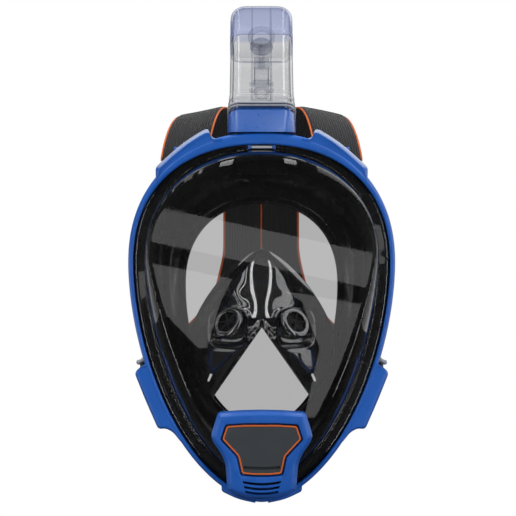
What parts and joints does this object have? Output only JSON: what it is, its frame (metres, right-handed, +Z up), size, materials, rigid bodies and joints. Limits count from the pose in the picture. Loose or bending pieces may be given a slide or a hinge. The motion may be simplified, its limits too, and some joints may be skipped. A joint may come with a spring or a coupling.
{
  "type": "full-face snorkel mask",
  "caption": "Full-face snorkel mask with a clear flat visor, blue frame, leaning dry-top snorkel, chin valve cover and elastic head harness.",
  "frame": {"origin": "centre of the face seal, level with the widest part of the frame", "axes": "+X to the viewer's right seen from the front, +Y towards the back of the wearer's head, +Z up"},
  "size_m": [0.196, 0.222, 0.3797],
  "materials": {
    "blue_plastic": "satin",
    "black_plastic": "matte",
    "dark_plastic": "matte",
    "clear_plastic": "polished",
    "tinted_plastic": "polished",
    "grey_plastic": "gloss",
    "black_silicone": "satin",
    "orange_trim": "satin",
    "grey_rubber": "matte",
    "steel": "brushed",
    "strap_fabric": "matte"
  },
  "bodies": {
    "mask": {"front_bezel": "blue_plastic", "rear_retainer": "black_plastic", "visor_lens": "clear_plastic", "lens_top_clip": "grey_plastic", "face_skirt": "black_silicone", "orinasal_pocket": "black_silicone", "valve_seats": "grey_plastic", "purge_seat": "grey_plastic", "chin_bracket": "blue_plastic", "chin_plate": "dark_plastic", "chin_trim": "orange_trim", "snorkel_socket": "blue_plastic", "ear_pins": "steel", "button_spring_left": "steel", "button_spring_right": "steel"},
    "snorkel": {"socket_gasket": "grey_rubber", "collar_ring": "grey_plastic", "snorkel_tube": "clear_plastic", "channel_walls": "clear_plastic", "float_guide": "clear_plastic", "snorkel_cap": "tinted_plastic", "cap_seat": "grey_plastic"},
    "float": {"float_body": "grey_plastic", "float_seal": "grey_rubber"},
    "harness": {"strap_loops": "black_plastic", "harness_pad": "strap_fabric", "upper_strap_left": "strap_fabric", "upper_strap_right": "strap_fabric", "lower_strap_left": "strap_fabric", "lower_strap_right": "strap_fabric", "strap_piping": "orange_trim", "tongue_left": "black_plastic", "tongue_right": "black_plastic"},
    "button_left": {"release_button_left": "grey_plastic"},
    "button_right": {"release_button_right": "grey_plastic"},
    "purge_valve": {"purge_flap": "black_silicone"},
    "inhale_valve_left": {"inhale_flap_left": "black_silicone"},
    "inhale_valve_right": {"inhale_flap_right": "black_silicone"}
  },
  "joints": [
    {"name": "snorkel_unplug", "type": "slide", "parent": "mask", "child": "snorkel", "axis": [0, 0.6428, 0.766], "range_m": [0, 0.03]},
    {"name": "float_rise", "type": "slide", "parent": "snorkel", "child": "float", "axis": [0, 0.6428, 0.766], "range_m": [0, 0.0076]},
    {"name": "harness_swing", "type": "hinge", "parent": "mask", "child": "harness", "pos_m": [0, -0.008, 0.082], "axis": [1, 0, 0], "range_deg": [0, 20]},
    {"name": "press_left", "type": "slide", "parent": "mask", "child": "button_left", "axis": [0, 0, -1], "range_m": [0, 0.002], "stiffness_N_per_m": 300, "deforming": ["button_spring_left"]},
    {"name": "press_right", "type": "slide", "parent": "mask", "child": "button_right", "axis": [0, 0, -1], "range_m": [0, 0.002], "stiffness_N_per_m": 300, "deforming": ["button_spring_right"]},
    {"name": "purge_lift", "type": "slide", "parent": "mask", "child": "purge_valve", "axis": [0, -1, 0], "range_m": [0, 0.0015]},
    {"name": "inhale_lift_left", "type": "slide", "parent": "mask", "child": "inhale_valve_left", "axis": [0.5314, 0.7052, -0.4695], "range_m": [0, 0.0015]},
    {"name": "inhale_lift_right", "type": "slide", "parent": "mask", "child": "inhale_valve_right", "axis": [-0.5314, 0.7052, -0.4695], "range_m": [0, 0.0015]}
  ]
}
